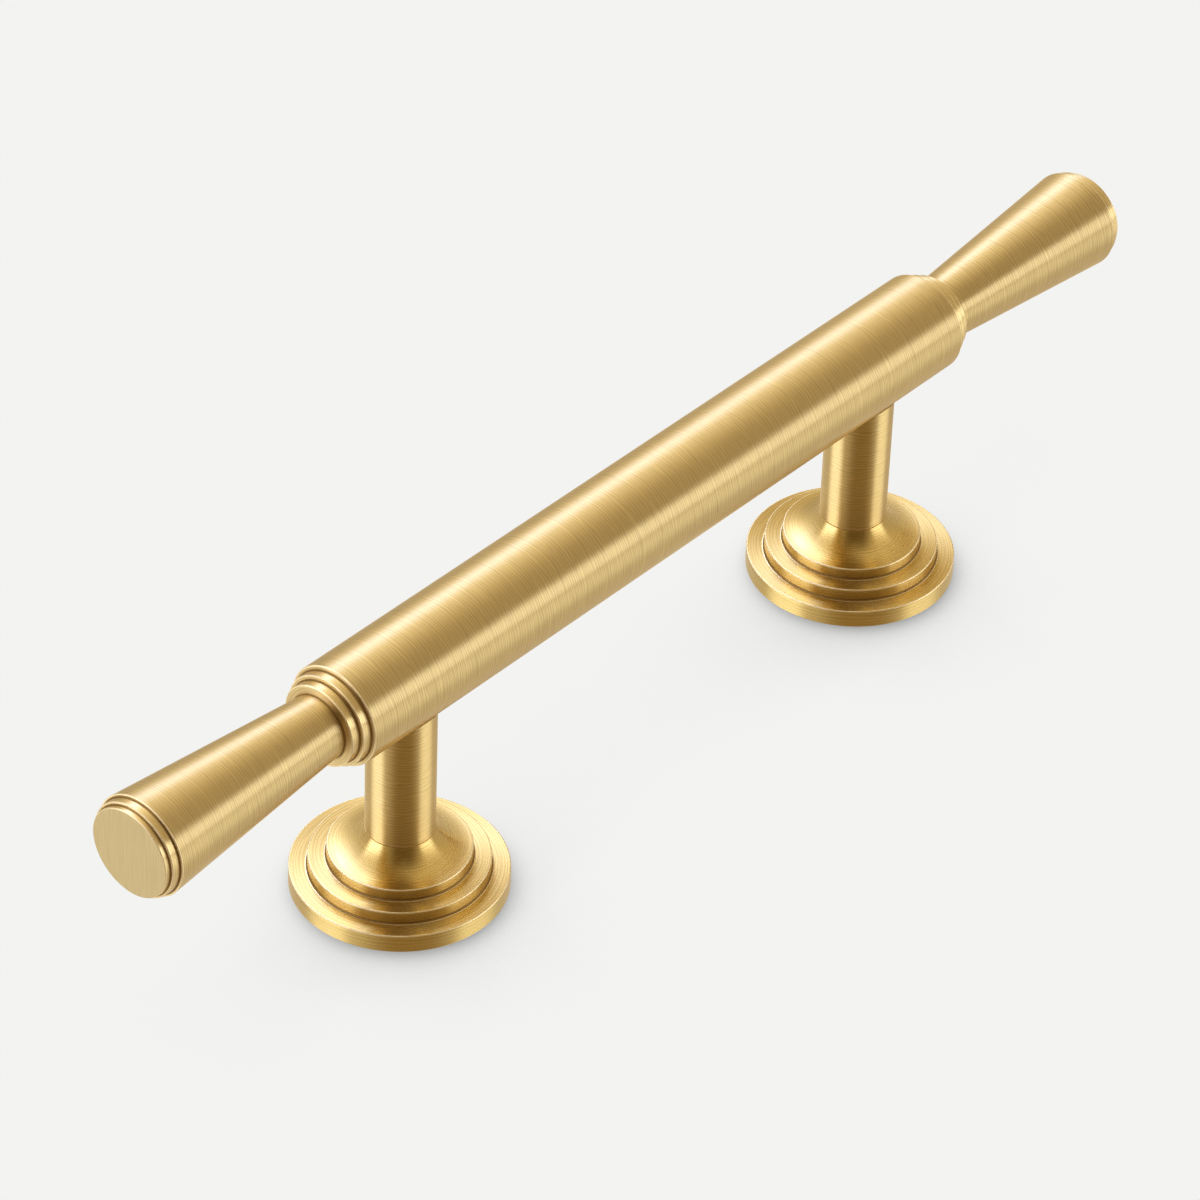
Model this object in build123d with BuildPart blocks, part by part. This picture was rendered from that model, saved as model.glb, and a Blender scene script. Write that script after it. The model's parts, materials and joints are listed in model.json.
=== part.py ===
from build123d import *

import os

os.makedirs("parts", exist_ok=True)

# Cabinet pull in solid brass: a turned bar on two posts, each post standing on a turned rosette.
# Millimetres. The cabinet face is z = 0, the bar runs along x, and z points away from the cabinet.

# Where the pull stands
hole_spacing = 76.2
bar_height = 28.4

# Bar, turned from one rod and the same at both ends
grip_diameter = 11.7
grip_length = 97.0
collar_step = 0.55
collar_width = 1.15
neck_step = 1.07
finial_length = 26.0
finial_end_diameter = 11.7
tip_step = 0.36
wide_tip_width = 1.0
narrow_tip_width = 0.65

# Posts, coped to the bar at the top, with a spigot that goes through the rosette
post_diameter = 7.6
spigot_diameter = 5.6
spigot_setback = 0.4

# Rosettes: three stepped discs, then a cove that rises to the foot of the post
base_disc_diameter = 23.8
base_disc_height = 2.1
middle_disc_diameter = 19.7
middle_disc_height = 1.5
top_disc_diameter = 15.7
top_disc_height = 1.4
cove_height = 2.4
cove_foot_angle = 61.0

# M4 screw holes in the feet and M5 studs at the saddles, drawn as plain walls at their nominal diameter
screw_diameter = 4.0
screw_hole_depth = 11.0
stud_diameter = 5.0
stud_engagement = 6.5

# Clearances
saddle_gap = 0.05
spigot_gap = 0.05
thread_gap = 0.05
stud_end_gap = 0.5

# Worked out from the sizes above
grip_radius = grip_diameter / 2
post_radius = post_diameter / 2
bar_underside = bar_height - grip_radius
middle_disc_base = base_disc_height
top_disc_base = middle_disc_base + middle_disc_height
cove_base = top_disc_base + top_disc_height
rosette_height = cove_base + cove_height
bore_radius = spigot_diameter / 2 + spigot_gap
stud_hole_radius = stud_diameter / 2 + thread_gap
stud_hole_depth = stud_engagement + stud_end_gap
post_places = {"left": -hole_spacing / 2, "right": hole_spacing / 2}


# Bar: half of its section, mirrored and turned about the bar's axis
wide_collar_start = grip_length / 2
narrow_collar_start = wide_collar_start + collar_width
neck_start = narrow_collar_start + collar_width
finial_end = neck_start + finial_length
narrow_tip_start = finial_end + wide_tip_width
bar_end = narrow_tip_start + narrow_tip_width

wide_collar_radius = grip_radius - collar_step
narrow_collar_radius = wide_collar_radius - collar_step
neck_radius = narrow_collar_radius - neck_step
finial_end_radius = finial_end_diameter / 2
wide_tip_radius = finial_end_radius - tip_step
narrow_tip_radius = wide_tip_radius - tip_step

with BuildPart() as bar:
    with BuildSketch(Plane((0, 0, bar_height), x_dir=(1, 0, 0), z_dir=(0, -1, 0))):
        with BuildLine():
            Polyline(
                (0, 0),
                (0, grip_radius),
                (wide_collar_start, grip_radius),
                (wide_collar_start, wide_collar_radius),
                (narrow_collar_start, wide_collar_radius),
                (narrow_collar_start, narrow_collar_radius),
                (neck_start, narrow_collar_radius),
                (neck_start, neck_radius),
                (finial_end, finial_end_radius),
                (finial_end, wide_tip_radius),
                (narrow_tip_start, wide_tip_radius),
                (narrow_tip_start, narrow_tip_radius),
                (bar_end, narrow_tip_radius),
                (bar_end, 0),
                close=True,
            )
        make_face()
        mirror(about=Plane.YZ)
    revolve(axis=Axis((0, 0, bar_height), (1, 0, 0)))
    with BuildSketch(Plane.XY.offset(bar_underside)):
        with GridLocations(hole_spacing, 0, 2, 1):
            Circle(stud_hole_radius)
    extrude(amount=stud_hole_depth, mode=Mode.SUBTRACT)
bar.part.label = "bar"
export_step(bar.part, "parts/bar.step")


# Posts: a round rod coped to the bar, with a tapped hole for the joining stud at the top,
# and a spigot below the shoulder with a tapped hole for the cabinet screw
for side, place in post_places.items():
    with BuildPart() as post:
        with BuildSketch(Plane((place, 0, rosette_height))):
            Circle(post_radius)
        extrude(amount=bar_height - rosette_height)
        with BuildSketch(Plane((place, 0, bar_height), x_dir=(0, 1, 0), z_dir=(1, 0, 0))):
            Circle(grip_radius + saddle_gap)
        extrude(amount=post_diameter, both=True, mode=Mode.SUBTRACT)
        with BuildSketch(Plane((place, 0, bar_underside))):
            Circle(stud_hole_radius)
        extrude(amount=stud_hole_depth, both=True, mode=Mode.SUBTRACT)
        with BuildSketch(Plane((place, 0, spigot_setback))):
            Circle(spigot_diameter / 2)
        extrude(amount=rosette_height - spigot_setback)
        with BuildSketch(Plane((place, 0, spigot_setback))):
            Circle(screw_diameter / 2)
        extrude(amount=screw_hole_depth, mode=Mode.SUBTRACT)
    post.part.label = f"post_{side}"
    export_step(post.part, f"parts/post_{side}.step")


# Rosettes: a stepped and coved section turned about the axis of the post
for side, place in post_places.items():
    with BuildPart() as rosette:
        with BuildSketch(Plane((place, 0, 0), x_dir=(1, 0, 0), z_dir=(0, -1, 0))):
            with BuildLine():
                Polyline(
                    (bore_radius, rosette_height),
                    (bore_radius, 0),
                    (base_disc_diameter / 2, 0),
                    (base_disc_diameter / 2, middle_disc_base),
                    (middle_disc_diameter / 2, middle_disc_base),
                    (middle_disc_diameter / 2, top_disc_base),
                    (top_disc_diameter / 2, top_disc_base),
                    (top_disc_diameter / 2, cove_base),
                )
                Spline(
                    (top_disc_diameter / 2, cove_base),
                    (post_radius, rosette_height),
                    tangents=[(-1, 0), Vector(-1, 0).rotate(Axis.Z, -cove_foot_angle)],
                )
                Line((post_radius, rosette_height), (bore_radius, rosette_height))
            make_face()
        revolve(axis=Axis((place, 0, 0), (0, 0, 1)))
    rosette.part.label = f"rosette_{side}"
    export_step(rosette.part, f"parts/rosette_{side}.step")


# Joining studs: threaded studs that draw the bar down on the posts, one in each
with BuildPart() as joining_studs:
    with BuildSketch(Plane.XY.offset(bar_underside - stud_engagement)):
        with GridLocations(hole_spacing, 0, 2, 1):
            Circle(stud_diameter / 2)
    extrude(amount=2 * stud_engagement)
joining_studs.part.label = "joining_studs"
export_step(joining_studs.part, "parts/joining_studs.step")
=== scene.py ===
"""Brass cabinet pull: a turned bar on two posts with stepped rosettes, dressed on its CAD frame."""

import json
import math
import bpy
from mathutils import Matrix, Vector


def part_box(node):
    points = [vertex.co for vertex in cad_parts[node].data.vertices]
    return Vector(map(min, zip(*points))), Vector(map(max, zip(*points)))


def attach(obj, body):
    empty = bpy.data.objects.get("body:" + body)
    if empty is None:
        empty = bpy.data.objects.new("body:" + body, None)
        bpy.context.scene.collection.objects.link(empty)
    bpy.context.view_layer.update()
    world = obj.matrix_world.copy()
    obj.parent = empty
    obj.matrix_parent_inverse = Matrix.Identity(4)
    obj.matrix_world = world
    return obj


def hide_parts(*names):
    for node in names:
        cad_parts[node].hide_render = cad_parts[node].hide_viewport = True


bl_info = {
    "name": "Brass cabinet pull",
    "version": (1, 0, 0),
    "blender": (4, 5, 0),
    "location": "View3D > Sidebar > Cabinet Pull",
    "description": "Models a turned brass cabinet pull on its CAD frame and sets up its studio",
    "category": "Add Mesh",
}

import bpy
from bpy.props import FloatProperty, FloatVectorProperty, IntProperty, PointerProperty
from mathutils import Matrix, Vector

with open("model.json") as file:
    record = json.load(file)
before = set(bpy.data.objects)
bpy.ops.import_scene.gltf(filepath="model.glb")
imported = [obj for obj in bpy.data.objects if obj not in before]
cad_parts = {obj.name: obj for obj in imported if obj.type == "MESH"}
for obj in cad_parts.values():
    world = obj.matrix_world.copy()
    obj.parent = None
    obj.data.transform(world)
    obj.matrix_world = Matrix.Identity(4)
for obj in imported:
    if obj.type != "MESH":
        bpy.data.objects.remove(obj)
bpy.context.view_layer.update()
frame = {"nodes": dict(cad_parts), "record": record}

bar_low, bar_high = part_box("bar")
post_low, post_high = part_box("post_left")
rosette_low, rosette_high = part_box("rosette_left")
mounts = {mount["name"]: mount for mount in frame["record"]["mounts"]}
post_places = {
    "left": mounts["screw_hole_left"]["pos_m"][0],
    "right": mounts["screw_hole_right"]["pos_m"][0],
}
screw_hole = mounts["screw_hole_left"]["dims"]
millimetres_per_metre = 1000

# Vertices closer than this are one
weld_distance = 1e-6

# Edges that turn by more than this stay sharp, so that a flat looks flat beside its rounded rim
smooth_angle = math.radians(10)

# What a Map Range gives at the low and the high end of a value
rising = (0.0, 1.0)
falling = (1.0, 0.0)


def length(name, description, default):
    """A size in metres that a user may change."""
    return FloatProperty(name=name, description=description, default=default, unit="LENGTH", precision=6)


def angle(name, description, degrees):
    """An angle that a user may change, given in degrees."""
    return FloatProperty(name=name, description=description, default=math.radians(degrees), subtype="ANGLE")


def share(name, description, default):
    """A share from nought to one that a user may change."""
    return FloatProperty(
        name=name, description=description, default=default, min=0.0, max=1.0, subtype="FACTOR"
    )


def number(name, description, default):
    """A plain number that a user may change."""
    return FloatProperty(name=name, description=description, default=default, min=0.0)


def count(name, description, default, least):
    """A whole number that a user may change."""
    return IntProperty(name=name, description=description, default=default, min=least)


def colour(name, description, default):
    """A linear colour that a user may change."""
    return FloatVectorProperty(
        name=name, description=description, default=default, size=3, min=0.0, max=1.0, subtype="COLOR"
    )


def light(name, description, default):
    """A linear light that a user may change, which may be brighter than white."""
    return FloatVectorProperty(
        name=name, description=description, default=default, size=3, min=0.0, subtype="COLOR"
    )


class BarSizes(bpy.types.PropertyGroup):
    """Sizes of the turned bar."""

    height: length("Axis height", "Bar's axis above the cabinet face", (bar_low.z + bar_high.z) / 2)
    half_length: length("Half length", "From the middle to the end face", bar_high.x)
    grip_radius: length("Grip radius", "Radius of the plain grip", (bar_high.z - bar_low.z) / 2)
    grip_half_length: length("Grip half length", "From the middle to the first collar", 0.0485)
    collar_width: length("Collar width", "Width of each of the two collars", 0.00115)
    collar_step: length("Collar step", "Drop in radius at each collar", 0.00055)
    neck_step: length("Neck step", "Drop in radius from the narrow collar to the neck", 0.00107)
    finial_end_radius: length("Finial end radius", "Radius at the wide end of the finial", 0.00585)
    wide_tip_width: length("Wide tip width", "Width of the tip ring next to the finial", 0.001)
    narrow_tip_width: length("Narrow tip width", "Width of the tip ring at the end face", 0.00065)
    tip_step: length("Tip step", "Drop in radius at each tip ring", 0.00036)
    rim_round: length("Rim round", "Rounding of the rims", 0.00013)
    root_round: length("Root round", "Rounding of the roots", 0.00016)


class PostSizes(bpy.types.PropertyGroup):
    """Sizes of the two posts."""

    radius: length("Radius", "Radius of the post", (post_high.x - post_low.x) / 2)
    foot_height: length("Foot height", "Where the post stands on the rosette", rosette_high.z)
    saddle_gap: length("Saddle gap", "Clearance between the saddle and the bar", 0.00005)
    saddle_round: length("Saddle round", "Rounding of the saddle's edge", 0.0003)
    foot_round: length("Foot round", "Rounding of the edge at the foot", 0.00018)
    spigot_radius: length("Spigot radius", "Radius of the spigot in the rosette", 0.0028)
    spigot_end: length("Spigot end", "Height of the spigot's end above the cabinet face", post_low.z)
    screw_radius: length(
        "Screw radius", "Radius of the screw hole", screw_hole["r_mm"] / millimetres_per_metre
    )
    screw_depth: length(
        "Screw depth", "Depth of the screw hole", screw_hole["length_mm"] / millimetres_per_metre
    )


class RosetteSizes(bpy.types.PropertyGroup):
    """Sizes of the two rosettes."""

    base_radius: length("Base radius", "Radius of the base disc", (rosette_high.x - rosette_low.x) / 2)
    base_height: length("Base height", "Top of the base disc", 0.0021)
    middle_radius: length("Middle radius", "Radius of the middle disc", 0.00985)
    middle_height: length("Middle height", "Top of the middle disc", 0.0036)
    top_radius: length("Top radius", "Radius of the top disc", 0.00785)
    top_height: length("Top height", "Top of the top disc, where the cove starts", 0.005)
    height: length("Height", "Where the cove meets the post", rosette_high.z)
    bore_radius: length("Bore radius", "Radius of the bore for the spigot", 0.00285)
    rim_round: length("Rim round", "Rounding of the rims", 0.00012)
    root_round: length("Root round", "Rounding of the roots", 0.00025)


class BrassFinish(bpy.types.PropertyGroup):
    """Look of the brushed brass."""

    bar_colour: colour("Bar colour", "Brass of the bar", (0.745, 0.553, 0.245))
    end_colour: colour("End colour", "Brass of the bar's end faces", (0.605, 0.475, 0.236))
    post_colour: colour("Post colour", "Brass of the posts", (0.745, 0.547, 0.225))
    rosette_colour: colour("Rosette colour", "Brass of the rosettes", (0.72, 0.515, 0.18))
    # Lighter brass painted on rims, root lips and the posts' foot seams as a highlight
    rim_highlight_colour: colour("Rim colour", "Burnished brass of the rims", (0.92, 0.75, 0.44))
    # Dark brass painted in the roots and on the posts' saddles as shade
    root_shade_colour: colour("Root colour", "Dark brass in the roots of the steps", (0.3, 0.18, 0.055))
    bar_contrast: share("Bar contrast", "How far the brush lines lighten and darken the bar", 0.1)
    foot_contrast: share("Foot contrast", "The same for posts and rosettes", 0.1)
    bar_roughness: share("Bar roughness", "Roughness of the bar", 0.36)
    ring_roughness: share("Ring roughness", "Roughness of collars and tip rings", 0.28)
    post_roughness: share("Post roughness", "Roughness of the posts", 0.35)
    rosette_roughness: share("Rosette roughness", "Roughness of the rosettes", 0.27)
    rim_roughness: share("Rim roughness", "Roughness of the rims and roots", 0.5)
    anisotropy: share("Anisotropy", "Stretch of the gloss across the lines", 1.0)
    bar_lines: number("Bar lines", "Brush lines per metre of the bar", 3000.0)
    foot_lines: number("Foot lines", "Brush lines per metre of posts and rosettes", 2700.0)
    line_spread: number("Line spread", "How often a line breaks round the piece", 2.0)
    turn_steps: count("Turn steps", "Facets round a turned piece", 384, least=12)
    round_steps: count("Round steps", "Facets across a rounded edge", 4, least=1)


class StudioLook(bpy.types.PropertyGroup):
    """Camera, floor and lights."""

    azimuth: angle("Camera azimuth", "Turn of the camera round the pull", -50.3497)
    elevation: angle("Camera elevation", "Camera's angle above the floor", 37.7257)
    roll: angle("Camera roll", "Tilt of the frame", 2.1778)
    distance: length("Camera distance", "From the camera to its target", 0.6503199)
    target: FloatVectorProperty(
        name="Target",
        description="What the camera looks at",
        default=(-0.0063311, 0.0, 0.0196831),
        subtype="XYZ",
        unit="LENGTH",
    )
    lens: FloatProperty(
        name="Lens", description="Focal length in millimetres", default=180.5986, unit="CAMERA"
    )
    backdrop: colour("Backdrop", "Pale colour of the floor and background", (0.896, 0.896, 0.88))
    floor_size: length("Floor size", "Side of the square floor", 4.0)
    floor_shift: length("Floor shift", "From the pull to the floor's middle", 1.0)
    # The floor's shadow is painted by ambient occlusion, with this reach, these samples and this lean
    shadow_reach: length("Shadow reach", "How near a piece shades the floor", 0.026)
    shadow_samples: count("Shadow samples", "Rays that look for the shadow", 16, least=1)
    shadow_lean: FloatVectorProperty(
        name="Shadow lean",
        description="Where the light that makes the shadow comes from",
        default=(0.25, 0.5, 0.8),
        subtype="XYZ",
    )
    fill: light("Fill", "Light on matt surfaces", (0.95, 0.95, 0.95))
    room_low: light("Room low", "Room seen in the gloss, from below", (0.80, 0.76, 0.70))
    room_high: light("Room high", "Room seen in the gloss, at eye level", (0.61, 0.55, 0.46))
    ceiling: light("Ceiling", "Room seen in the gloss, from above", (0.73, 0.62, 0.435))
    dark_low: light("Dark low", "Dark front of the room, from below", (0.36, 0.262, 0.14))
    dark_high: light("Dark high", "Dark front of the room, from above", (0.1, 0.055, 0.014))
    left_sheen: light("Left sheen", "Left box as the table mirrors it", (2.2, 2.3, 2.5))
    right_sheen: light("Right sheen", "Right box as the table mirrors it", (1.7, 1.75, 1.8))
    left_box: light("Left box", "Box of light at the left", (3.15, 3.4, 4.4))
    right_box: light("Right box", "Box of light at the right", (2.5, 2.6, 2.9))
    window: light("Window", "Long window behind the pull", (2.5, 2.5, 2.35))
    window_core: light("Window core", "Brightest line of the window", (3.6, 4.35, 7.7))


class PullSettings(bpy.types.PropertyGroup):
    """All the settings of the pull."""

    bar: PointerProperty(type=BarSizes)
    post: PointerProperty(type=PostSizes)
    rosette: PointerProperty(type=RosetteSizes)
    brass: PointerProperty(type=BrassFinish)
    studio: PointerProperty(type=StudioLook)


def trace_profile(name, points):
    """Starts a piece as a line of points, in edit mode, by extruding one vertex from point to point."""
    bpy.ops.object.select_all(action="DESELECT")
    bpy.ops.mesh.primitive_plane_add(size=points[0].length, location=(0, 0, 0))
    piece = bpy.context.object
    piece.name = name
    bpy.ops.object.mode_set(mode="EDIT")
    bpy.ops.mesh.select_mode(type="VERT")
    bpy.ops.mesh.select_all(action="SELECT")
    bpy.ops.mesh.merge(type="CENTER")
    bpy.ops.transform.translate(value=points[0])
    for start, end in zip(points, points[1:]):
        bpy.ops.mesh.extrude_vertices_move(TRANSFORM_OT_translate={"value": end - start})
    return piece


def select_where(piece, test):
    """Selects, in edit mode, the vertices whose place passes a test."""
    bpy.ops.mesh.select_mode(type="VERT")
    bpy.ops.mesh.select_all(action="DESELECT")
    bpy.ops.object.mode_set(mode="OBJECT")
    for vertex in piece.data.vertices:
        vertex.select = test(vertex.co)
    bpy.ops.object.mode_set(mode="EDIT")


def slack(radius):
    """A distance that is small beside a rounding of this radius."""
    return radius / 10


def round_corners(piece, corners, radius, steps):
    """Rounds a traced profile at the given corners."""
    tolerance = slack(radius)
    select_where(piece, lambda place: any((place - corner).length < tolerance for corner in corners))
    bpy.ops.mesh.bevel(offset=radius, offset_type="OFFSET", segments=steps, affect="VERTICES")


def turn_profile(centre, axis, steps):
    """Spins the traced profile about an axis into a closed turned piece."""
    bpy.ops.mesh.select_all(action="SELECT")
    bpy.ops.mesh.spin(steps=steps, angle=math.tau, center=centre, axis=axis)
    bpy.ops.mesh.select_all(action="SELECT")
    bpy.ops.mesh.remove_doubles(threshold=weld_distance)
    bpy.ops.mesh.normals_make_consistent(inside=False)


def finish_piece(piece, node, material):
    """Shades a piece, gives it its material and sets it in place of its CAD node."""
    bpy.ops.object.mode_set(mode="OBJECT")
    bpy.ops.object.shade_smooth_by_angle(angle=smooth_angle)
    piece.data.materials.clear()
    piece.data.materials.append(material)
    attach(piece, "root")
    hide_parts(node)


def add_node(tree, kind, **settings):
    """Adds a node to a tree with its settings."""
    node = tree.nodes.new(kind)
    for name, value in settings.items():
        setattr(node, name, value)
    return node


def feed(tree, socket, value):
    """Links a socket to another one, or sets it to a plain number or colour."""
    if isinstance(value, bpy.types.NodeSocket):
        tree.links.new(value, socket)
    elif isinstance(value, float):
        socket.default_value = value
    else:
        socket.default_value = (*value, 1.0)


def math_node(tree, operation, first, second):
    """A Math node on linked sockets or plain numbers. Returns its output."""
    node = add_node(tree, "ShaderNodeMath", operation=operation)
    feed(tree, node.inputs[0], first)
    feed(tree, node.inputs[1], second)
    return node.outputs[0]


def map_range(tree, value, given, wanted):
    """A smooth Map Range of a linked value from one pair of limits to another. Returns its output."""
    node = add_node(tree, "ShaderNodeMapRange", interpolation_type="SMOOTHSTEP")
    tree.links.new(value, node.inputs["Value"])
    for name, limit in zip(("From Min", "From Max", "To Min", "To Max"), (*given, *wanted)):
        node.inputs[name].default_value = limit
    return node.outputs["Result"]


def mix_colours(tree, factor, first, second):
    """A Mix node on linked sockets or plain colours. Returns its output."""
    node = add_node(tree, "ShaderNodeMix", data_type="RGBA")
    # The node has sockets for every type of data, and these are the ones for colours
    for socket, value in zip((node.inputs[0], node.inputs[6], node.inputs[7]), (factor, first, second)):
        feed(tree, socket, value)
    return node.outputs[2]


def new_metal(name):
    """A new metal. Returns the material with its node tree and its shader."""
    material = bpy.data.materials.new(name)
    material.use_nodes = True
    tree = material.node_tree
    shader = tree.nodes["Principled BSDF"]
    shader.inputs["Metallic"].default_value = 1.0
    return material, tree, shader


def lathe_brushing():
    """Node group for brush lines that run round a turned piece, whose axis is the group's Z axis."""
    found = bpy.data.node_groups.get("Lathe brushing")
    if found:
        return found
    tree = bpy.data.node_groups.new("Lathe brushing", "ShaderNodeTree")
    for name, kind in (
        ("Place", "NodeSocketVector"),
        ("Line Density", "NodeSocketFloat"),
        ("Line Spread", "NodeSocketFloat"),
        ("Bright", "NodeSocketColor"),
        ("Dark", "NodeSocketColor"),
        ("Roughness", "NodeSocketFloat"),
    ):
        tree.interface.new_socket(name, in_out="INPUT", socket_type=kind)
    for name, kind in (("Color", "NodeSocketColor"), ("Roughness", "NodeSocketFloat")):
        tree.interface.new_socket(name, in_out="OUTPUT", socket_type=kind)
    given = add_node(tree, "NodeGroupInput").outputs
    result = add_node(tree, "NodeGroupOutput").inputs

    place = add_node(tree, "ShaderNodeSeparateXYZ")
    tree.links.new(given["Place"], place.inputs[0])
    flat = add_node(tree, "ShaderNodeCombineXYZ")
    tree.links.new(place.outputs["X"], flat.inputs["X"])
    tree.links.new(place.outputs["Y"], flat.inputs["Y"])
    radius = add_node(tree, "ShaderNodeVectorMath", operation="LENGTH")
    tree.links.new(flat.outputs[0], radius.inputs[0])
    outward = add_node(tree, "ShaderNodeVectorMath", operation="NORMALIZE")
    tree.links.new(flat.outputs[0], outward.inputs[0])
    around = add_node(tree, "ShaderNodeVectorMath", operation="SCALE")
    tree.links.new(outward.outputs[0], around.inputs[0])
    tree.links.new(given["Line Spread"], around.inputs["Scale"])
    turn = add_node(tree, "ShaderNodeSeparateXYZ")
    tree.links.new(around.outputs[0], turn.inputs[0])

    # Radius less height tells the lines apart both on a piece's walls and on its flats
    across = math_node(tree, "SUBTRACT", radius.outputs["Value"], place.outputs["Z"])
    # At this scale a Wave texture draws one line per unit
    line_scale = math.tau / 20
    wander = 10.0
    wander_detail = 2.0
    wander_scale = 1.0
    # Density and weight of two sets of lines, which don't repeat together
    line_sets = ((1.0, 0.55), (1.37, 0.45))
    lines = []
    for density_share, weight in line_sets:
        density = math_node(tree, "MULTIPLY", given["Line Density"], density_share)
        spread = add_node(tree, "ShaderNodeCombineXYZ")
        tree.links.new(math_node(tree, "MULTIPLY", across, density), spread.inputs["X"])
        tree.links.new(turn.outputs["X"], spread.inputs["Y"])
        tree.links.new(turn.outputs["Y"], spread.inputs["Z"])
        wave = add_node(
            tree, "ShaderNodeTexWave", wave_type="BANDS", bands_direction="X", wave_profile="SIN"
        )
        wave.inputs["Scale"].default_value = line_scale
        wave.inputs["Distortion"].default_value = wander
        wave.inputs["Detail"].default_value = wander_detail
        wave.inputs["Detail Scale"].default_value = wander_scale
        tree.links.new(spread.outputs[0], wave.inputs["Vector"])
        lines.append(math_node(tree, "MULTIPLY", wave.outputs["Fac"], weight))

    both = math_node(tree, "ADD", *lines)
    line_levels = (0.2, 0.8)
    roughness_spread = (1.05, 0.95)
    mask = map_range(tree, both, line_levels, rising)
    tree.links.new(mix_colours(tree, mask, given["Dark"], given["Bright"]), result["Color"])
    factor = map_range(tree, both, line_levels, roughness_spread)
    tree.links.new(math_node(tree, "MULTIPLY", given["Roughness"], factor), result["Roughness"])
    return tree


def line_shades(metal, contrast):
    """The brass of the bright and of the dark brush lines."""
    bright = [channel * (1 + contrast) for channel in metal]
    dark = [channel * (1 - contrast) for channel in metal]
    return bright, dark


def brushed_brass(name, finish, metal, axis, centre, roughness, anisotropy):
    """Satin brass turned and brushed about an axis through a point."""
    material, tree, shader = new_metal(name)
    quarter_turn = 0.25
    shader.inputs["Anisotropic"].default_value = anisotropy
    shader.inputs["Anisotropic Rotation"].default_value = quarter_turn
    tangent = add_node(tree, "ShaderNodeTangent", direction_type="RADIAL", axis=axis)
    tree.links.new(tangent.outputs[0], shader.inputs["Tangent"])

    place = add_node(tree, "ShaderNodeTexCoord")
    centred = add_node(tree, "ShaderNodeMapping", vector_type="TEXTURE")
    centred.inputs["Location"].default_value = centre
    lines, contrast = finish.foot_lines, finish.foot_contrast
    if axis == "X":
        centred.inputs["Rotation"].default_value = (0, math.radians(90), 0)
        lines, contrast = finish.bar_lines, finish.bar_contrast
    tree.links.new(place.outputs["Object"], centred.inputs["Vector"])
    brushing = add_node(tree, "ShaderNodeGroup", node_tree=lathe_brushing())
    tree.links.new(centred.outputs[0], brushing.inputs["Place"])
    brushing.inputs["Line Density"].default_value = lines
    brushing.inputs["Line Spread"].default_value = finish.line_spread
    bright, dark = line_shades(metal, contrast)
    brushing.inputs["Bright"].default_value = (*bright, 1.0)
    brushing.inputs["Dark"].default_value = (*dark, 1.0)
    brushing.inputs["Roughness"].default_value = roughness
    tree.links.new(brushing.outputs["Color"], shader.inputs["Base Color"])
    tree.links.new(brushing.outputs["Roughness"], shader.inputs["Roughness"])
    return material


def faced_brass(name, finish):
    """Satin brass with fine straight lines that run up the end face."""
    material, tree, shader = new_metal(name)
    lines_across = 2 * finish.bar_lines
    breaks_along = finish.bar_lines / 15
    place = add_node(tree, "ShaderNodeTexCoord")
    stretched = add_node(tree, "ShaderNodeMapping")
    stretched.inputs["Scale"].default_value = (0, lines_across, breaks_along)
    tree.links.new(place.outputs["Object"], stretched.inputs["Vector"])
    lines = add_node(tree, "ShaderNodeTexNoise")
    lines.inputs["Scale"].default_value = 1.0
    tree.links.new(stretched.outputs[0], lines.inputs["Vector"])

    colour_levels = (0.2, 0.8)
    half_contrast = (0.25, 0.75)
    roughness_levels = (0.3, 0.7)
    end_roughness = (0.62, 0.56)
    mask = map_range(tree, lines.outputs["Fac"], colour_levels, half_contrast)
    bright, dark = line_shades(finish.end_colour, finish.bar_contrast)
    tree.links.new(mix_colours(tree, mask, dark, bright), shader.inputs["Base Color"])
    roughness = map_range(tree, lines.outputs["Fac"], roughness_levels, end_roughness)
    tree.links.new(roughness, shader.inputs["Roughness"])
    return material


def refinish(piece, material, wanted):
    """Gives another finish to the faces whose middles are wanted."""
    piece.data.materials.append(material)
    piece.active_material_index = len(piece.data.materials) - 1
    bpy.ops.object.mode_set(mode="EDIT")
    bpy.ops.mesh.select_mode(type="FACE")
    bpy.ops.mesh.select_all(action="DESELECT")
    bpy.ops.object.mode_set(mode="OBJECT")
    for face in piece.data.polygons:
        face.select = wanted(face.center)
    bpy.ops.object.mode_set(mode="EDIT")
    bpy.ops.object.material_slot_assign()
    bpy.ops.object.mode_set(mode="OBJECT")


def near(corners, reach, section):
    """A test for places whose point in the piece's section is within reach of one of its corners."""
    spots = [Vector(corner) for corner in corners]
    return lambda place: any((section(place) - spot).length < reach for spot in spots)


def paint_highlights_and_shade(piece, name, finish, axis, centre, painted_highlight, painted_shade):
    """Gives the rims of a piece a lighter brass as a painted highlight and its roots a dark brass as
    painted shade.
    """
    for label, metal, wanted in (
        ("rim", finish.rim_highlight_colour, painted_highlight),
        ("root", finish.root_shade_colour, painted_shade),
    ):
        brass = brushed_brass(f"{name} {label}", finish, metal, axis, centre, finish.rim_roughness, 0.0)
        refinish(piece, brass, wanted)


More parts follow.
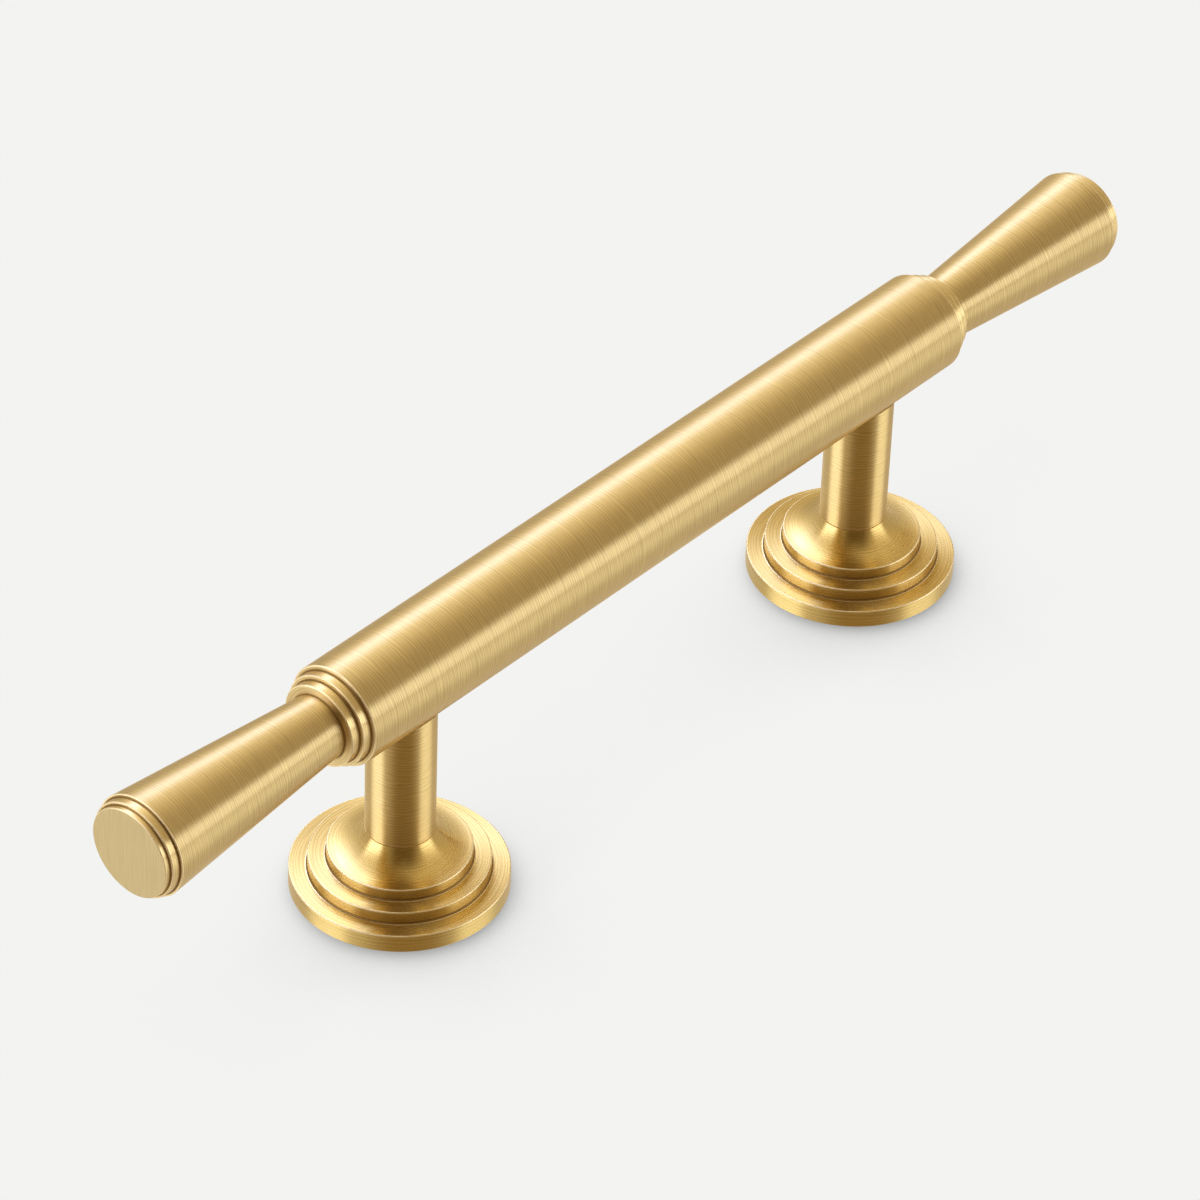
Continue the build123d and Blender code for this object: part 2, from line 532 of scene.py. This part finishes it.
class CABINETPULL_OT_bar(bpy.types.Operator):
    """Turn the bar with its collars, finials and tip rings"""

    bl_idname = "cabinet_pull.bar"
    bl_label = "Bar"

    def execute(self, context):
        settings = context.scene.cabinet_pull
        bar, finish = settings.bar, settings.brass
        wide_collar = bar.grip_radius - bar.collar_step
        narrow_collar = wide_collar - bar.collar_step
        neck = narrow_collar - bar.neck_step
        wide_tip = bar.finial_end_radius - bar.tip_step
        narrow_tip = wide_tip - bar.tip_step
        narrow_collar_start = bar.grip_half_length + bar.collar_width
        neck_start = narrow_collar_start + bar.collar_width
        narrow_tip_start = bar.half_length - bar.narrow_tip_width
        finial_end = narrow_tip_start - bar.wide_tip_width
        # Half of the section from its end inwards: after the first point, rims and roots in turn
        half = [
            (bar.half_length, 0),
            (bar.half_length, narrow_tip),
            (narrow_tip_start, narrow_tip),
            (narrow_tip_start, wide_tip),
            (finial_end, wide_tip),
            (finial_end, bar.finial_end_radius),
            (neck_start, neck),
            (neck_start, narrow_collar),
            (narrow_collar_start, narrow_collar),
            (narrow_collar_start, wide_collar),
            (bar.grip_half_length, wide_collar),
            (bar.grip_half_length, bar.grip_radius),
        ]
        stations = [(-x, radius) for x, radius in half] + half[::-1]
        points = [Vector((x, 0, bar.height + radius)) for x, radius in stations]
        piece = trace_profile("turned_bar", points)
        for start, radius in ((1, bar.rim_round), (2, bar.root_round)):
            corners = [*points[start : len(half) : 2], *points[-1 - start : len(half) - 1 : -2]]
            round_corners(piece, corners, radius, finish.round_steps)
        centre = (0, 0, bar.height)
        turn_profile(centre, (1, 0, 0), finish.turn_steps)

        metal, stretch = finish.bar_colour, finish.anisotropy
        grip = brushed_brass("Bar brass", finish, metal, "X", centre, finish.bar_roughness, stretch)
        finish_piece(piece, "bar", grip)
        rings = brushed_brass("Ring brass", finish, metal, "X", centre, finish.ring_roughness, stretch)
        refinish(
            piece,
            rings,
            lambda place: bar.grip_half_length < abs(place.x) < neck_start or abs(place.x) > finial_end,
        )

        def section(place):
            """Place along the bar and distance from its axis."""
            return Vector((abs(place.x), math.hypot(place.y, place.z - bar.height)))

        # Painted highlights on the bar's rims and painted shade in its roots
        paint_highlights_and_shade(
            piece,
            "Bar",
            finish,
            "X",
            centre,
            painted_highlight=near(half[1::2], bar.rim_round, section),
            painted_shade=near(half[2::2], bar.root_round, section),
        )
        faced = faced_brass("Faced end brass", finish)
        refinish(piece, faced, lambda place: abs(place.x) > bar.half_length - slack(bar.rim_round))
        return {"FINISHED"}


class CABINETPULL_OT_posts(bpy.types.Operator):
    """Model the two posts, coped to the bar, with their spigots and screw holes"""

    bl_idname = "cabinet_pull.posts"
    bl_label = "Posts"

    def execute(self, context):
        settings = context.scene.cabinet_pull
        finish = settings.brass
        metal, roughness, stretch = finish.post_colour, finish.post_roughness, finish.anisotropy
        for side, place in post_places.items():
            centre = (place, 0, 0)
            piece = self.model_post(f"coped_post_{side}", settings, place)
            brass = brushed_brass(f"Post brass {side}", finish, metal, "Z", centre, roughness, stretch)
            finish_piece(piece, f"post_{side}", brass)
            self.paint_end_highlight_and_shade(piece, f"Post {side}", settings, centre)
        return {"FINISHED"}

    def paint_end_highlight_and_shade(self, piece, name, settings, centre):
        """Gives the seam at the post's foot a painted highlight and its saddle painted shade."""
        bar, post = settings.bar, settings.post
        saddle_radius = bar.grip_radius + post.saddle_gap

        def section(place):
            """Distance from the post's axis and height."""
            return Vector((math.hypot(place.x - centre[0], place.y), place.z))

        def at_saddle(place):
            """Whether a place is on the saddle or its rounded edge."""
            return math.hypot(place.y, bar.height - place.z) < saddle_radius + post.saddle_round

        paint_highlights_and_shade(
            piece,
            name,
            settings.brass,
            "Z",
            centre,
            painted_highlight=near([(post.radius, post.foot_height)], post.foot_round, section),
            painted_shade=at_saddle,
        )

    def model_post(self, name, settings, place):
        """A round rod from the rosette to the bar, its top lifted to the bar's curve."""
        bar, post, finish = settings.bar, settings.post, settings.brass
        saddle_radius = bar.grip_radius + post.saddle_gap
        saddle_low = bar.height - saddle_radius
        bpy.ops.object.select_all(action="DESELECT")
        bpy.ops.mesh.primitive_circle_add(
            vertices=finish.turn_steps,
            radius=post.radius,
            fill_type="NGON",
            location=(place, 0, post.foot_height),
        )
        piece = bpy.context.object
        piece.name = name
        bpy.ops.object.transform_apply(location=True)
        bpy.ops.object.mode_set(mode="EDIT")
        bpy.ops.mesh.select_all(action="SELECT")
        bpy.ops.mesh.extrude_region_move(
            TRANSFORM_OT_translate={"value": (0, 0, saddle_low - post.foot_height)}
        )
        self.round_rim(piece, saddle_low, post.saddle_round, finish.round_steps)
        self.round_rim(piece, post.foot_height, post.foot_round, finish.round_steps)
        self.add_spigot(piece, post)
        self.cope_top(piece, saddle_low, saddle_radius, post)
        bpy.ops.mesh.select_all(action="SELECT")
        bpy.ops.mesh.normals_make_consistent(inside=False)
        return piece

    def select_level(self, piece, height, radius):
        """Selects the end face at a height, whose rim has or gets a rounding of this radius."""
        tolerance = slack(radius)
        select_where(piece, lambda place: abs(place.z - height) < tolerance)

    def round_rim(self, piece, height, radius, steps):
        """Rounds the rim of the rod's end face at a height."""
        self.select_level(piece, height, radius)
        bpy.ops.mesh.bevel(offset=radius, offset_type="OFFSET", segments=steps, affect="EDGES")

    def add_spigot(self, piece, post):
        """Draws the spigot down from the foot and sinks the screw hole into it."""
        self.select_level(piece, post.foot_height, post.foot_round)
        bpy.ops.mesh.inset(thickness=post.radius - post.foot_round - post.spigot_radius)
        bpy.ops.mesh.extrude_region_move(
            TRANSFORM_OT_translate={"value": (0, 0, post.spigot_end - post.foot_height)}
        )
        bpy.ops.mesh.inset(thickness=post.spigot_radius - post.screw_radius)
        bpy.ops.mesh.extrude_region_move(TRANSFORM_OT_translate={"value": (0, 0, post.screw_depth)})

    def cope_top(self, piece, saddle_low, saddle_radius, post):
        """Rings the end face and lifts the whole top to the curve of the bar."""
        ring_count = 6
        ring_width = (post.radius - post.saddle_round) / (ring_count + 1)
        self.select_level(piece, saddle_low, post.saddle_round)
        for ring in range(ring_count):
            bpy.ops.mesh.inset(thickness=ring_width)
        bpy.ops.mesh.poke()
        bpy.ops.object.mode_set(mode="OBJECT")
        top_start = saddle_low - post.saddle_round - slack(post.saddle_round)
        for vertex in piece.data.vertices:
            if vertex.co.z > top_start:
                vertex.co.z += saddle_radius - math.sqrt(saddle_radius**2 - vertex.co.y**2)
        bpy.ops.object.mode_set(mode="EDIT")


class CABINETPULL_OT_rosettes(bpy.types.Operator):
    """Turn one rosette with its discs and cove, and copy it to the other post"""

    bl_idname = "cabinet_pull.rosettes"
    bl_label = "Rosettes"

    def execute(self, context):
        settings = context.scene.cabinet_pull
        finish = settings.brass
        metal, roughness, stretch = finish.rosette_colour, finish.rosette_roughness, finish.anisotropy
        left = self.model_rosette(settings, post_places["left"])
        bpy.ops.object.mode_set(mode="OBJECT")
        bpy.ops.object.duplicate(linked=False)
        right = context.object
        right.name = "turned_rosette_right"
        bpy.ops.transform.translate(value=(post_places["right"] - post_places["left"], 0, 0))
        bpy.ops.object.transform_apply(location=True)
        for side, piece in (("left", left), ("right", right)):
            bpy.ops.object.select_all(action="DESELECT")
            piece.select_set(True)
            context.view_layer.objects.active = piece
            centre = (post_places[side], 0, 0)
            brass = brushed_brass(f"Rosette brass {side}", finish, metal, "Z", centre, roughness, stretch)
            finish_piece(piece, f"rosette_{side}", brass)
            self.paint_step_highlights_and_shade(piece, f"Rosette {side}", settings, centre)
        return {"FINISHED"}

    def paint_step_highlights_and_shade(self, piece, name, settings, centre):
        """Gives the rims of the steps and the outer lips of their roots a painted highlight, and the rest
        of the roots painted shade.
        """
        rosette = settings.rosette
        discs = self.discs(rosette)
        rims = discs[1::2]
        roots = [Vector(corner) for corner in discs[2::2]]
        # A lip is at least this many times as far out from its root as it is up
        lip_slope = 5

        def section(place):
            """Distance from the rosette's axis and height."""
            return Vector((math.hypot(place.x - centre[0], place.y), place.z))

        def on_lip(place):
            """Whether a place in a root is in the outermost part of its rounding, next to the flat."""
            spot = section(place)
            root = min(roots, key=lambda corner: (spot - corner).length)
            return spot.x - root.x > lip_slope * (spot.y - root.y)

        at_rim = near(rims, rosette.rim_round, section)
        at_root = near(roots, rosette.root_round, section)
        paint_highlights_and_shade(
            piece,
            name,
            settings.brass,
            "Z",
            centre,
            painted_highlight=lambda place: at_rim(place) or at_root(place) and on_lip(place),
            painted_shade=lambda place: at_root(place) and not on_lip(place),
        )

    def model_rosette(self, settings, place):
        """The stepped and coved section, traced, rounded and turned about the post's axis."""
        rosette, post, finish = settings.rosette, settings.post, settings.brass
        discs = self.discs(rosette)
        cove = self.cove(rosette, post)
        bore = [(rosette.bore_radius, rosette.height), (rosette.bore_radius, 0), (rosette.base_radius, 0)]
        points = [Vector((place + radius, 0, height)) for radius, height in discs + cove + bore]
        piece = trace_profile("turned_rosette_left", points)
        bpy.ops.mesh.select_all(action="SELECT")
        bpy.ops.mesh.remove_doubles(threshold=weld_distance)
        for start, radius in ((1, rosette.rim_round), (2, rosette.root_round)):
            round_corners(piece, points[start : len(discs) : 2], radius, finish.round_steps)
        turn_profile((place, 0, 0), (0, 0, 1), finish.turn_steps)
        return piece

    def discs(self, rosette):
        """Corners of the stepped discs, from the foot up: after the first, rims and roots in turn."""
        return [
            (rosette.base_radius, 0),
            (rosette.base_radius, rosette.base_height),
            (rosette.middle_radius, rosette.base_height),
            (rosette.middle_radius, rosette.middle_height),
            (rosette.top_radius, rosette.middle_height),
            (rosette.top_radius, rosette.top_height),
        ]

    def cove(self, rosette, post):
        """Points of the cove, an arc that leaves the top disc level and rises to the post's foot."""
        run = rosette.top_radius - post.radius
        rise = rosette.height - rosette.top_height
        arc_radius = (run**2 + rise**2) / (2 * rise)
        sweep = math.asin(run / arc_radius)
        steps = 24
        points = []
        for step in range(1, steps + 1):
            turn = sweep * step / steps
            radius = rosette.top_radius - arc_radius * math.sin(turn)
            height = rosette.top_height + arc_radius * (1 - math.cos(turn))
            points.append((radius, height))
        return points


class CABINETPULL_OT_studs(bpy.types.Operator):
    """Give the hidden joining studs their steel"""

    bl_idname = "cabinet_pull.studs"
    bl_label = "Joining studs"

    def execute(self, context):
        grain_density = 2500.0
        dark_steel = (0.48, 0.48, 0.49)
        bright_steel = (0.62, 0.62, 0.63)
        grain_levels = (0.3, 0.7)
        steel_roughness = (0.3, 0.45)
        steel, tree, shader = new_metal("Stud steel")
        place = add_node(tree, "ShaderNodeTexCoord")
        grain = add_node(tree, "ShaderNodeTexNoise")
        grain.inputs["Scale"].default_value = grain_density
        tree.links.new(place.outputs["Object"], grain.inputs["Vector"])
        shade = mix_colours(tree, grain.outputs["Fac"], dark_steel, bright_steel)
        tree.links.new(shade, shader.inputs["Base Color"])
        roughness = map_range(tree, grain.outputs["Fac"], grain_levels, steel_roughness)
        tree.links.new(roughness, shader.inputs["Roughness"])
        studs = frame["nodes"]["joining_studs"]
        studs.data.materials.clear()
        studs.data.materials.append(steel)
        return {"FINISHED"}


class CABINETPULL_OT_stage(bpy.types.Operator):
    """Set up the floor, the studio light and the camera"""

    bl_idname = "cabinet_pull.stage"
    bl_label = "Stage"

    def execute(self, context):
        studio = context.scene.cabinet_pull.studio
        context.scene.view_settings.view_transform = "Standard"
        self.lay_floor(studio)
        self.light_world(context.scene, studio)
        self.set_camera(context.scene, studio)
        return {"FINISHED"}

    def lay_floor(self, studio):
        """A pale floor, not mirrored in the metal, with a painted soft shadow: the camera sees a glow that
        ambient occlusion dims near the pieces.
        """
        bpy.ops.object.select_all(action="DESELECT")
        bpy.ops.mesh.primitive_plane_add(size=studio.floor_size, location=(studio.floor_shift, 0, 0))
        floor = bpy.context.object
        floor.name = "floor"
        material = bpy.data.materials.new("Pale floor")
        material.use_nodes = True
        tree = material.node_tree
        tree.nodes.clear()
        matt = add_node(tree, "ShaderNodeBsdfDiffuse")
        matt.inputs["Color"].default_value = (*studio.backdrop, 1.0)
        # Painted shadow: ambient occlusion, leaned towards the window, dims the floor's glow for the camera
        nearby = add_node(tree, "ShaderNodeAmbientOcclusion", samples=studio.shadow_samples)
        nearby.inputs["Distance"].default_value = studio.shadow_reach
        towards_window = add_node(tree, "ShaderNodeCombineXYZ")
        for socket, part in zip(towards_window.inputs, studio.shadow_lean):
            socket.default_value = part
        tree.links.new(towards_window.outputs[0], nearby.inputs["Normal"])
        openness = (0.1, 0.97)
        brightness = (0.3, 1.0)
        shade = map_range(tree, nearby.outputs["AO"], openness, brightness)
        glow = add_node(tree, "ShaderNodeEmission")
        glow.inputs["Color"].default_value = (*studio.backdrop, 1.0)
        tree.links.new(shade, glow.inputs["Strength"])
        path = add_node(tree, "ShaderNodeLightPath")
        blend = add_node(tree, "ShaderNodeMixShader")
        tree.links.new(path.outputs["Is Camera Ray"], blend.inputs[0])
        tree.links.new(matt.outputs[0], blend.inputs[1])
        tree.links.new(glow.outputs[0], blend.inputs[2])
        surface = add_node(tree, "ShaderNodeOutputMaterial")
        tree.links.new(blend.outputs[0], surface.inputs["Surface"])
        floor.data.materials.append(material)
        floor.visible_glossy = False

    def light_world(self, scene, studio):
        """A soft studio by direction: a long window behind, a box at each side and a dark front."""
        world = bpy.data.worlds.new("Studio")
        scene.world = world
        world.use_nodes = True
        tree = world.node_tree
        direction = add_node(tree, "ShaderNodeTexCoord").outputs["Generated"]
        parts = add_node(tree, "ShaderNodeSeparateXYZ")
        tree.links.new(direction, parts.inputs[0])
        along, rise = parts.outputs["X"], parts.outputs["Z"]

        # The room, with a ceiling and a dark front that ends overhead
        room_rise = (-0.6, -0.2)
        dark_rise = (-0.1, 0.3)
        overhead = (0.85, 1.0)
        to_high = map_range(tree, rise, room_rise, rising)
        room = mix_colours(tree, to_high, studio.room_low, studio.room_high)
        room = mix_colours(tree, self.edge(tree, rise, elevation=19), room, studio.ceiling)
        to_dark = map_range(tree, rise, dark_rise, rising)
        dark = mix_colours(tree, to_dark, studio.dark_low, studio.dark_high)
        front = self.sector(tree, direction, azimuth=-126, inner=12, outer=59)
        front = math_node(tree, "MULTIPLY", front, map_range(tree, rise, overhead, falling))
        room = mix_colours(tree, front, room, dark)

        # The lights, each in its own part of the room
        window_start = (-0.15, 0.3)
        window_end = (0.33, 0.66)
        left = self.sector(tree, direction, azimuth=150, inner=8, outer=27)
        right = self.sector(tree, direction, azimuth=-59, inner=7, outer=27)
        sheen = self.sheen(tree, rise)
        from_start = map_range(tree, along, window_start, rising)
        to_end = map_range(tree, along, window_end, falling)
        reach = math_node(tree, "MULTIPLY", from_start, to_end)
        for shape, limit, shown_light in (
            (left, sheen, studio.left_sheen),
            (right, sheen, studio.right_sheen),
            (left, self.band(tree, rise, low=0, high=30), studio.left_box),
            (right, self.band(tree, rise, low=-1.5, high=20.5), studio.right_box),
            (self.strip(tree, direction, elevation=59, sharpness=7.5), reach, studio.window),
            (self.strip(tree, direction, elevation=50, sharpness=40.0), reach, studio.window_core),
        ):
            room = mix_colours(tree, math_node(tree, "MULTIPLY", shape, limit), room, shown_light)

        path = add_node(tree, "ShaderNodeLightPath")
        seen = mix_colours(tree, path.outputs["Is Glossy Ray"], studio.fill, room)
        shown = mix_colours(tree, path.outputs["Is Camera Ray"], seen, studio.backdrop)
        tree.links.new(shown, tree.nodes["Background"].inputs["Color"])

    def sheen(self, tree, rise):
        """Share of a box that the table mirrors, from just below the horizon and fading downwards."""
        fade_rise = (-0.66, -0.3)
        fade_share = (0.22, 1.0)
        fade = map_range(tree, rise, fade_rise, fade_share)
        gap = self.edge(tree, rise, elevation=-4)
        return math_node(tree, "MAXIMUM", math_node(tree, "SUBTRACT", fade, gap), 0.0)

    def facing(self, tree, direction, kept, towards):
        """Cosine between a world direction, flattened to the kept axes, and another direction."""
        flat = add_node(tree, "ShaderNodeVectorMath", operation="MULTIPLY")
        tree.links.new(direction, flat.inputs[0])
        flat.inputs[1].default_value = kept
        unit = add_node(tree, "ShaderNodeVectorMath", operation="NORMALIZE")
        tree.links.new(flat.outputs[0], unit.inputs[0])
        match = add_node(tree, "ShaderNodeVectorMath", operation="DOT_PRODUCT")
        tree.links.new(unit.outputs[0], match.inputs[0])
        match.inputs[1].default_value = towards
        return match.outputs["Value"]

    def sector(self, tree, direction, azimuth, inner, outer):
        """A soft-edged sector of the compass, in degrees to each side of an azimuth."""
        turn = math.radians(azimuth)
        match = self.facing(tree, direction, (1, 1, 0), (math.cos(turn), math.sin(turn), 0))
        limits = (math.cos(math.radians(outer)), math.cos(math.radians(inner)))
        return map_range(tree, match, limits, rising)

    def strip(self, tree, direction, elevation, sharpness):
        """A long window parallel to the bar, at an angle above the floor behind it."""
        turn = math.radians(elevation)
        match = self.facing(tree, direction, (0, 1, 1), (0, math.cos(turn), math.sin(turn)))
        return math_node(tree, "POWER", math_node(tree, "MAXIMUM", match, 0.0), sharpness)

    def edge(self, tree, rise, elevation):
        """A nearly sharp level edge at an elevation in degrees."""
        soft = 0.03
        middle = math.sin(math.radians(elevation))
        return map_range(tree, rise, (middle - soft, middle + soft), rising)

    def band(self, tree, rise, low, high):
        """A level band between two elevations in degrees."""
        return math_node(tree, "SUBTRACT", self.edge(tree, rise, low), self.edge(tree, rise, high))

    def set_camera(self, scene, studio):
        """The camera at the photograph's angle."""
        sensor_width = 36.0
        nearest = 0.01
        azimuth, elevation, roll = studio.azimuth, studio.elevation, studio.roll
        back = Vector(
            (
                math.sin(azimuth) * math.cos(elevation),
                -math.cos(azimuth) * math.cos(elevation),
                math.sin(elevation),
            )
        )
        right = Vector((math.cos(azimuth), math.sin(azimuth), 0))
        up = back.cross(right)
        frame_right = math.cos(roll) * right + math.sin(roll) * up
        frame_up = math.cos(roll) * up - math.sin(roll) * right
        bpy.ops.object.camera_add(location=Vector(studio.target) + studio.distance * back)
        camera = bpy.context.object
        camera.rotation_euler = Matrix((frame_right, frame_up, back)).transposed().to_euler()
        camera.data.sensor_width = sensor_width
        camera.data.lens = studio.lens
        camera.data.clip_start = nearest
        scene.camera = camera


class CABINETPULL_PT_panel(bpy.types.Panel):
    """Lists the steps that build the pull"""

    bl_idname = "CABINETPULL_PT_panel"
    bl_label = "Cabinet pull"
    bl_space_type = "VIEW_3D"
    bl_region_type = "UI"
    bl_category = "Cabinet Pull"

    def draw(self, context):
        for operator in operators:
            self.layout.operator(operator.bl_idname)


operators = (
    CABINETPULL_OT_bar,
    CABINETPULL_OT_posts,
    CABINETPULL_OT_rosettes,
    CABINETPULL_OT_studs,
    CABINETPULL_OT_stage,
)
classes = (
    BarSizes,
    PostSizes,
    RosetteSizes,
    BrassFinish,
    StudioLook,
    PullSettings,
    *operators,
    CABINETPULL_PT_panel,
)


def register():
    for cls in classes:
        bpy.utils.register_class(cls)
    bpy.types.Scene.cabinet_pull = PointerProperty(type=PullSettings)


def unregister():
    del bpy.types.Scene.cabinet_pull
    for cls in reversed(classes):
        bpy.utils.unregister_class(cls)


def main():
    register()
    bpy.ops.cabinet_pull.bar()
    bpy.ops.cabinet_pull.posts()
    bpy.ops.cabinet_pull.rosettes()
    bpy.ops.cabinet_pull.studs()
    bpy.ops.cabinet_pull.stage()


if __name__ == "__main__":
    main()
